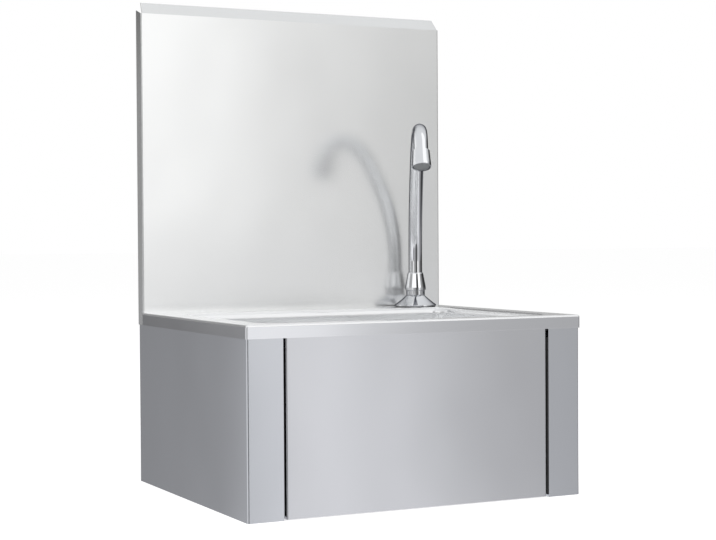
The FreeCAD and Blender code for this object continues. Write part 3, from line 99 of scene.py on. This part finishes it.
class Shader:
    """A node material around one Principled shader."""

    def __init__(self, name, **values):
        self.material = bpy.data.materials.new(name)
        self.material.use_nodes = True
        self.tree = self.material.node_tree
        self.surface = self.tree.nodes["Principled BSDF"]
        self.normal = None
        for socket, value in values.items():
            self.surface.inputs[socket.replace("_", " ")].default_value = value

    def node(self, kind, **values):
        """Adds a node and sets its own values."""
        made = self.tree.nodes.new(kind)
        for name, value in values.items():
            setattr(made, name, value)
        return made

    def link(self, source, target):
        self.tree.links.new(source, target)

    def noise(self, scale, stretch=(1, 1, 1), detail=2.0):
        """Noise in the object's own metres; stretch draws its grain out along an axis."""
        place = self.node("ShaderNodeTexCoord")
        mapping = self.node("ShaderNodeMapping")
        mapping.inputs["Scale"].default_value = stretch
        noise = self.node("ShaderNodeTexNoise")
        noise.inputs["Scale"].default_value = scale
        noise.inputs["Detail"].default_value = detail
        self.link(place.outputs["Object"], mapping.inputs["Vector"])
        self.link(mapping.outputs["Vector"], noise.inputs["Vector"])
        return noise.outputs["Fac"]

    def spread(self, source, low, high):
        """Maps a 0 to 1 pattern to a range."""
        reach = self.node("ShaderNodeMapRange")
        reach.inputs["To Min"].default_value = low
        reach.inputs["To Max"].default_value = high
        self.link(source, reach.inputs["Value"])
        return reach.outputs["Result"]

    def tint(self, source, dark, light):
        """Runs between two colours along a 0 to 1 pattern."""
        ramp = self.node("ShaderNodeValToRGB")
        ends = ((RAMP_DARK, dark), (RAMP_LIGHT, light))
        for stop, (position, tone) in zip(ramp.color_ramp.elements, ends):
            stop.position = position
            stop.color = (*tone, 1)
        self.link(source, ramp.inputs["Fac"])
        self.link(ramp.outputs["Color"], self.surface.inputs["Base Color"])

    def ramp_along(self, axis, start, end, curve):
        """1 at the start and 0 from the end on, along one of the object's own axes."""
        place = self.node("ShaderNodeTexCoord")
        axes = self.node("ShaderNodeSeparateXYZ")
        self.link(place.outputs["Object"], axes.inputs["Vector"])
        reach = self.node("ShaderNodeMapRange")
        reach.inputs["From Min"].default_value = end
        reach.inputs["From Max"].default_value = start
        self.link(axes.outputs[axis], reach.inputs["Value"])
        power = self.node("ShaderNodeMath", operation="POWER")
        power.inputs[1].default_value = curve
        self.link(reach.outputs["Result"], power.inputs[0])
        return power.outputs["Value"]

    def upward(self):
        """0 on upright faces and 1 on those that look well up."""
        place = self.node("ShaderNodeTexCoord")
        axes = self.node("ShaderNodeSeparateXYZ")
        self.link(place.outputs["Normal"], axes.inputs["Vector"])
        reach = self.node("ShaderNodeMapRange")
        reach.inputs["From Max"].default_value = LOOKS_UP
        self.link(axes.outputs["Z"], reach.inputs["Value"])
        return reach.outputs["Result"]

    def bump(self, source, strength, distance):
        """Adds relief; each call works on top of the one before."""
        bump = self.node("ShaderNodeBump")
        bump.inputs["Strength"].default_value = strength
        bump.inputs["Distance"].default_value = distance
        self.link(source, bump.inputs["Height"])
        if self.normal:
            self.link(self.normal, bump.inputs["Normal"])
        self.normal = bump.outputs["Normal"]
        self.link(self.normal, self.surface.inputs["Normal"])


def brushed_steel(name, tone, roughness, stretch, wave=WAVE_DEPTH, roll=None, mirror=1.0,
                  painted_light_top_mirror=None):
    """Satin stainless: hair-fine grain along one axis, and the slow waviness of thin sheet.

    mirror is the share of clear reflection; the rest of the light is scattered by the grain.
    The last argument is that share on the faces that look up: painted light, since less mirror there
    makes the tops scatter the lamps and look lighter. roll is a long soft fold: its axis, where it
    starts and ends, the power of its curve and its depth.
    """
    shader = Shader(name, Metallic=mirror)
    # Faces that look up get less mirror: painted light, so that the tops look lighter.
    if painted_light_top_mirror is not None:
        clear = shader.spread(shader.upward(), mirror, painted_light_top_mirror)
        shader.link(clear, shader.surface.inputs["Metallic"])
    drifted = tuple(channel * TONE_DRIFT for channel in tone)
    shader.tint(shader.noise(TONE_SCALE, detail=3), drifted, tone)
    grain = shader.noise(GRAIN_SCALE, stretch)
    rough = shader.spread(grain, *(roughness * share for share in GRAIN_ROUGHNESS))
    shader.link(rough, shader.surface.inputs["Roughness"])
    if roll:
        axis, start, end, curve, depth = roll
        shader.bump(shader.ramp_along(axis, start, end, curve), 1.0, -depth)
    shader.bump(shader.noise(WAVE_SCALE, detail=1), 1.0, wave)
    shader.bump(grain, GRAIN_STRENGTH, GRAIN_DEPTH)
    return shader.material


def chrome(name):
    """Bright plating whose dark edge tint paints shade where it turns away."""
    shader = Shader(name, Metallic=1.0, Specular_Tint=CHROME_PAINTED_EDGE_SHADE)
    cloud = shader.noise(CHROME_SCALE)
    shader.tint(cloud, *CHROME_TONES)
    shader.link(shader.spread(cloud, *CHROME_ROUGHNESS), shader.surface.inputs["Roughness"])
    return shader.material


def plain(name, tone, roughness, metallic=0.0, variation=0.9):
    """Moulded or turned stock with a faint mottling."""
    shader = Shader(name, Metallic=metallic)
    mottle = shader.noise(MOTTLE_SCALE, detail=3)
    shader.tint(mottle, tuple(channel * variation for channel in tone), tone)
    rough = shader.spread(mottle, roughness - MOTTLE_ROUGHNESS, roughness + MOTTLE_ROUGHNESS)
    shader.link(rough, shader.surface.inputs["Roughness"])
    shader.bump(shader.noise(MOULD_SCALE), MOULD_STRENGTH, MOULD_DEPTH)
    return shader.material


# Grain is drawn out fifty times along one axis.
ALONG_X = (0.02, 1, 1)
ALONG_Y = (1, 0.02, 1)
ALONG_Z = (1, 1, 0.02)

# In relief, the sides curve in very slightly over their last stretch before the front fold.
SIDE_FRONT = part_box("side_panel_left")[0][1]
BODY_ROLL_LENGTH = 0.075
BODY_ROLL = ("Y", SIDE_FRONT, SIDE_FRONT + BODY_ROLL_LENGTH, 2, 0.0008)
# In relief, the rim's edge is folded a little past square, so it looks down below its shoulder.
SHOULDER_HEIGHT = 0.0025
RIM_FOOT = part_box("sink_deck")[0][2]
RIM_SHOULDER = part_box("sink_deck")[1][2] - SHOULDER_HEIGHT
RIM_ROLL = ("Z", RIM_FOOT, RIM_SHOULDER, 1, 0.0037)

SLOT_MATERIALS = {
    "splash_steel": brushed_steel("splash_steel", (0.86, 0.865, 0.865), 0.20, ALONG_Z,
                                  wave=0.0009, mirror=0.85),
    # The deck's top faces are only half mirror: painted light that makes its top lighter.
    "deck_steel": brushed_steel("deck_steel", (0.90, 0.905, 0.915), 0.14, ALONG_X,
                                roll=RIM_ROLL, painted_light_top_mirror=0.5),
    # Bowl: the deck's steel, paler and less of a mirror: painted light lifting the shade inside.
    "bowl_steel": brushed_steel("bowl_steel", (0.96, 0.965, 0.97), 0.24, ALONG_X, mirror=0.3),
    "body_steel": brushed_steel("body_steel", (0.735, 0.75, 0.78), 0.15, ALONG_Z,
                                wave=0.0007, roll=BODY_ROLL),
    "panel_steel": brushed_steel("panel_steel", (0.76, 0.765, 0.785), 0.15, ALONG_Z, wave=0.0008),
    "bracket_steel": brushed_steel("bracket_steel", (0.62, 0.63, 0.64), 0.36, ALONG_X),
    "button_steel": brushed_steel("button_steel", (0.74, 0.74, 0.75), 0.22, ALONG_Y),
    "spring_steel": brushed_steel("spring_steel", (0.50, 0.50, 0.51), 0.30, ALONG_Y),
    "waste_steel": brushed_steel("waste_steel", (0.78, 0.785, 0.79), 0.20, ALONG_X),
    "braid": brushed_steel("braid", (0.62, 0.63, 0.64), 0.34, ALONG_Y),
    "chrome": chrome("chrome"),
    "aerator_grey": plain("aerator_grey", (0.30, 0.31, 0.32), 0.50),
    "rubber": plain("rubber", (0.03, 0.03, 0.03), 0.65),
    "nylon": plain("nylon", (0.80, 0.79, 0.73), 0.45, variation=0.95),
    "brass": plain("brass", (0.66, 0.65, 0.62), 0.28, metallic=1.0),
    "waste_plastic": plain("waste_plastic", (0.82, 0.82, 0.80), 0.40, variation=0.96),
}


def finish_nodes():
    """Gives each CAD node its slot's finish."""
    for entry in frame["record"]["subparts"]:
        piece = nodes[entry["node"]]
        piece.data.materials.clear()
        piece.data.materials.append(SLOT_MATERIALS[entry["material_slot"]])


finish_nodes()

# ---------------------------------------------------------------- stage

FLOOR_SIZE = 60
FLOOR_TONE = (0.8, 0.8, 0.8, 1)
FLOOR_ROUGHNESS = 0.9
# Share of the floor's white that comes from the lamps, so that a shadow shows on it.
FLOOR_SHADOW = 0.45
WHITE = (1.0, 1.0, 1.0)
# The even light of the room on everything that isn't mirrored.
DOME_LEVEL = 0.55
# The lamps: name, place, what they point at, width, height and watts.
LAMPS = [
    ("key", (-0.9, -2.2, 2.4), (0, 0, 0.25), 1.6, 1.2, 26),
    ("top", (0.3, -0.2, 2.6), (0, 0, 0.2), 1.6, 1.6, 14),
]


def stage_floor():
    """Pale floor: near white to the camera, it keeps the shadow, and metal looks past it."""
    shader = Shader("floor", Base_Color=FLOOR_TONE, Roughness=FLOOR_ROUGHNESS,
                    Specular_IOR_Level=0.0, Emission_Color=(*WHITE, 1))
    path = shader.node("ShaderNodeLightPath")
    shader.link(shader.spread(path.outputs["Is Camera Ray"], 0.0, 1 - FLOOR_SHADOW),
                shader.surface.inputs["Emission Strength"])
    mix = shader.node("ShaderNodeMixShader")
    clear = shader.node("ShaderNodeBsdfTransparent")
    shader.link(path.outputs["Is Glossy Ray"], mix.inputs["Fac"])
    shader.link(shader.surface.outputs["BSDF"], mix.inputs[1])
    shader.link(clear.outputs["BSDF"], mix.inputs[2])
    shader.link(mix.outputs["Shader"], shader.tree.nodes["Material Output"].inputs["Surface"])
    mesh = bpy.data.meshes.new("floor")
    half = FLOOR_SIZE / 2
    mesh.from_pydata([(-half, -half, 0), (half, -half, 0), (half, half, 0), (-half, half, 0)],
                     [], [(0, 1, 2, 3)])
    mesh.materials.append(shader.material)
    floor = bpy.data.objects.new("floor", mesh)
    bpy.context.scene.collection.objects.link(floor)


# What metal sees around it at eye level, by compass angle from straight in front of the sink
# (positive to the right, in degrees) and brightness: soft boxes, and dark flags between them.
EYE_LEVEL = [
    (-180, 0.30), (-157, 0.30), (-152, 0.03), (-133, 0.03), (-127, 0.60), (-104, 0.32), (-82, 0.36),
    (-64, 0.50), (-60, 1.30), (-55, 1.30), (-51, 0.44), (-28, 0.34), (-11, 0.28), (4, 0.44),
    (10, 0.60), (12.5, 1.42), (20, 1.42), (22, 1.02), (24, 0.79), (26, 0.70), (28.5, 0.66),
    (33, 0.50), (40, 0.37), (52, 0.34), (64, 0.18), (74, 0.06), (112, 0.04), (128, 0.10),
    (150, 0.45), (180, 0.30),
]
# The same below eye level, where the body's front and sides look.
LOW_LEVEL = [
    (-180, 0.29), (-159.5, 0.29), (-150, 0.62), (-143, 0.85), (-75, 0.95), (-64, 0.80), (-60, 0.08),
    (-54, 0.08), (-50, 0.50), (-32, 0.34), (-22, 0.12), (-4, 0.14), (2, 0.50), (14, 0.42), (20, 0.42),
    (22.4, 0.60), (24.3, 1.06), (25.5, 1.10), (27.5, 0.77), (30, 0.56), (32, 0.48), (55, 0.40),
    (74, 0.20), (110, 0.20), (122, 0.75), (165, 0.60), (180, 0.29),
]
# The same lower down, where the rim's edge looks.
RIM_LEVEL = [
    (-180, 0.15), (-164, 0.16), (-162.8, 0.22), (-161.8, 0.36), (-160.5, 0.50), (-150, 0.62),
    (-143, 0.85), (-50, 0.50), (2, 0.50), (16, 0.72), (25.9, 0.78), (27.6, 0.97), (29, 1.12),
    (31.2, 0.85), (32.9, 0.63), (34.8, 0.46), (36.9, 0.44), (55, 0.40), (74, 0.06), (110, 0.06),
    (122, 0.75), (165, 0.60), (180, 0.15),
]
LOW_LEVEL_TINT = (0.985, 0.99, 1.02)
EYE_LEVEL_TINT = (1.0, 1.0, 0.995)
LEVELS_MEET = (-3.2, -1.0)
RIM_LEVELS_MEET = (-11.5, -9.5)
ZENITH = (0.78, 0.79, 0.80)
ZENITH_START = 12
ZENITH_END = 36
# Soft-edged panels in front of that: compass angle and elevation of the middle, half width, half
# height and soft edge in degrees, and brightness.
PANELS = [
    (20, 24, 13, 9, 5, 1.30),
    (-42, 20, 24, 9, 5, 1.25),
    (-5, 20, 8, 8, 4, 0.03),
    (-9, -6.6, 8, 6, 0.8, 0.03),
    (-170, 19, 26, 9, 5, 0.03),
    (170, 19, 20, 9, 5, 0.03),
    (32, 50, 24, 22, 8, 1.15),
]


class WorldShader:
    """The studio as nodes of the world."""

    def __init__(self):
        world = bpy.data.worlds.new("world")
        bpy.context.scene.world = world
        world.use_nodes = True
        self.tree = world.node_tree

    def link(self, source, target):
        self.tree.links.new(source, target)

    def math(self, operation, first, second=None):
        """One step of arithmetic on numbers or sockets."""
        node = self.tree.nodes.new("ShaderNodeMath")
        node.operation = operation
        for slot, source in enumerate((first, second)):
            if isinstance(source, (int, float)):
                node.inputs[slot].default_value = source
            elif source is not None:
                self.link(source, node.inputs[slot])
        return node.outputs["Value"]

    def step(self, source, start, end):
        """Rises smoothly from 0 at the start to 1 at the end."""
        node = self.tree.nodes.new("ShaderNodeMapRange")
        node.interpolation_type = "SMOOTHSTEP"
        node.inputs["From Min"].default_value = start
        node.inputs["From Max"].default_value = end
        self.link(source, node.inputs["Value"])
        return node.outputs["Result"]

    def mixed(self, factor, first, second):
        """Runs from the first colour to the second as the factor goes from 0 to 1."""
        node = self.tree.nodes.new("ShaderNodeMix")
        node.data_type = "RGBA"
        self.link(factor, node.inputs["Factor"])
        for slot, source in (("A", first), ("B", second)):
            socket = [one for one in node.inputs if one.name == slot and one.type == "RGBA"][0]
            if isinstance(source, tuple):
                socket.default_value = (*source, 1)
            else:
                self.link(source, socket)
        return [one for one in node.outputs if one.type == "RGBA"][0]

    def horizon(self, compass, levels, tint):
        """Brightness round the whole compass, from a table of angles and levels."""
        ramp = self.tree.nodes.new("ShaderNodeValToRGB")
        stops = ramp.color_ramp.elements
        for number, (degrees, level) in enumerate(levels):
            position = degrees / 360 + 0.5
            stop = stops[number] if number < 2 else stops.new(position)
            stop.position = position
            stop.color = (*(level * channel for channel in tint), 1)
        self.link(self.math("ADD", self.math("DIVIDE", compass, 360), 0.5), ramp.inputs["Fac"])
        return ramp.outputs["Color"]

    def panel(self, studio, compass, elevation, middle, half_width, half_height, soft, level):
        """Puts a soft-edged panel in front of the studio."""
        aside = self.math("ABSOLUTE", self.math("SUBTRACT", compass, middle[0]))
        above = self.math("ABSOLUTE", self.math("SUBTRACT", elevation, middle[1]))
        across = self.step(aside, half_width + soft, half_width)
        upward = self.step(above, half_height + soft, half_height)
        return self.mixed(self.math("MULTIPLY", across, upward), studio, (level, level, level))


def make_world():
    """White to the camera; to metal a softly graded studio; an even grey dome for the rest."""
    world = WorldShader()
    place = world.tree.nodes.new("ShaderNodeTexCoord")
    axes = world.tree.nodes.new("ShaderNodeSeparateXYZ")
    world.link(place.outputs["Generated"], axes.inputs["Vector"])
    toward = world.math("MULTIPLY", axes.outputs["Y"], -1)
    compass = world.math("DEGREES", world.math("ARCTAN2", axes.outputs["X"], toward))
    elevation = world.math("DEGREES", world.math("ARCSINE", axes.outputs["Z"]))
    studio = world.mixed(world.step(elevation, *RIM_LEVELS_MEET),
                         world.horizon(compass, RIM_LEVEL, LOW_LEVEL_TINT),
                         world.horizon(compass, LOW_LEVEL, LOW_LEVEL_TINT))
    studio = world.mixed(world.step(elevation, *LEVELS_MEET), studio,
                         world.horizon(compass, EYE_LEVEL, EYE_LEVEL_TINT))
    studio = world.mixed(world.step(elevation, ZENITH_START, ZENITH_END), studio, ZENITH)
    for angle, height, *shape in PANELS:
        studio = world.panel(studio, compass, elevation, (angle, height), *shape)

    path = world.tree.nodes.new("ShaderNodeLightPath")
    mirror = world.math("MAXIMUM", path.outputs["Is Glossy Ray"], path.outputs["Is Transmission Ray"])
    level = world.mixed(mirror, (DOME_LEVEL, DOME_LEVEL, DOME_LEVEL), studio)
    level = world.mixed(path.outputs["Is Camera Ray"], level, WHITE)
    world.link(level, world.tree.nodes["Background"].inputs["Color"])


def area_lamp(name, place, target, width, height, power):
    """A soft lamp, which metal doesn't show."""
    data = bpy.data.lights.new(name, "AREA")
    data.shape = "RECTANGLE"
    data.size = width
    data.size_y = height
    data.energy = power
    lamp = bpy.data.objects.new(name, data)
    aim = (Vector(place) - Vector(target)).to_track_quat("Z", "Y")
    lamp.matrix_world = Matrix.Translation(place) @ aim.to_matrix().to_4x4()
    lamp.visible_glossy = False
    bpy.context.scene.collection.objects.link(lamp)


stage_floor()
make_world()
for lamp in LAMPS:
    area_lamp(*lamp)
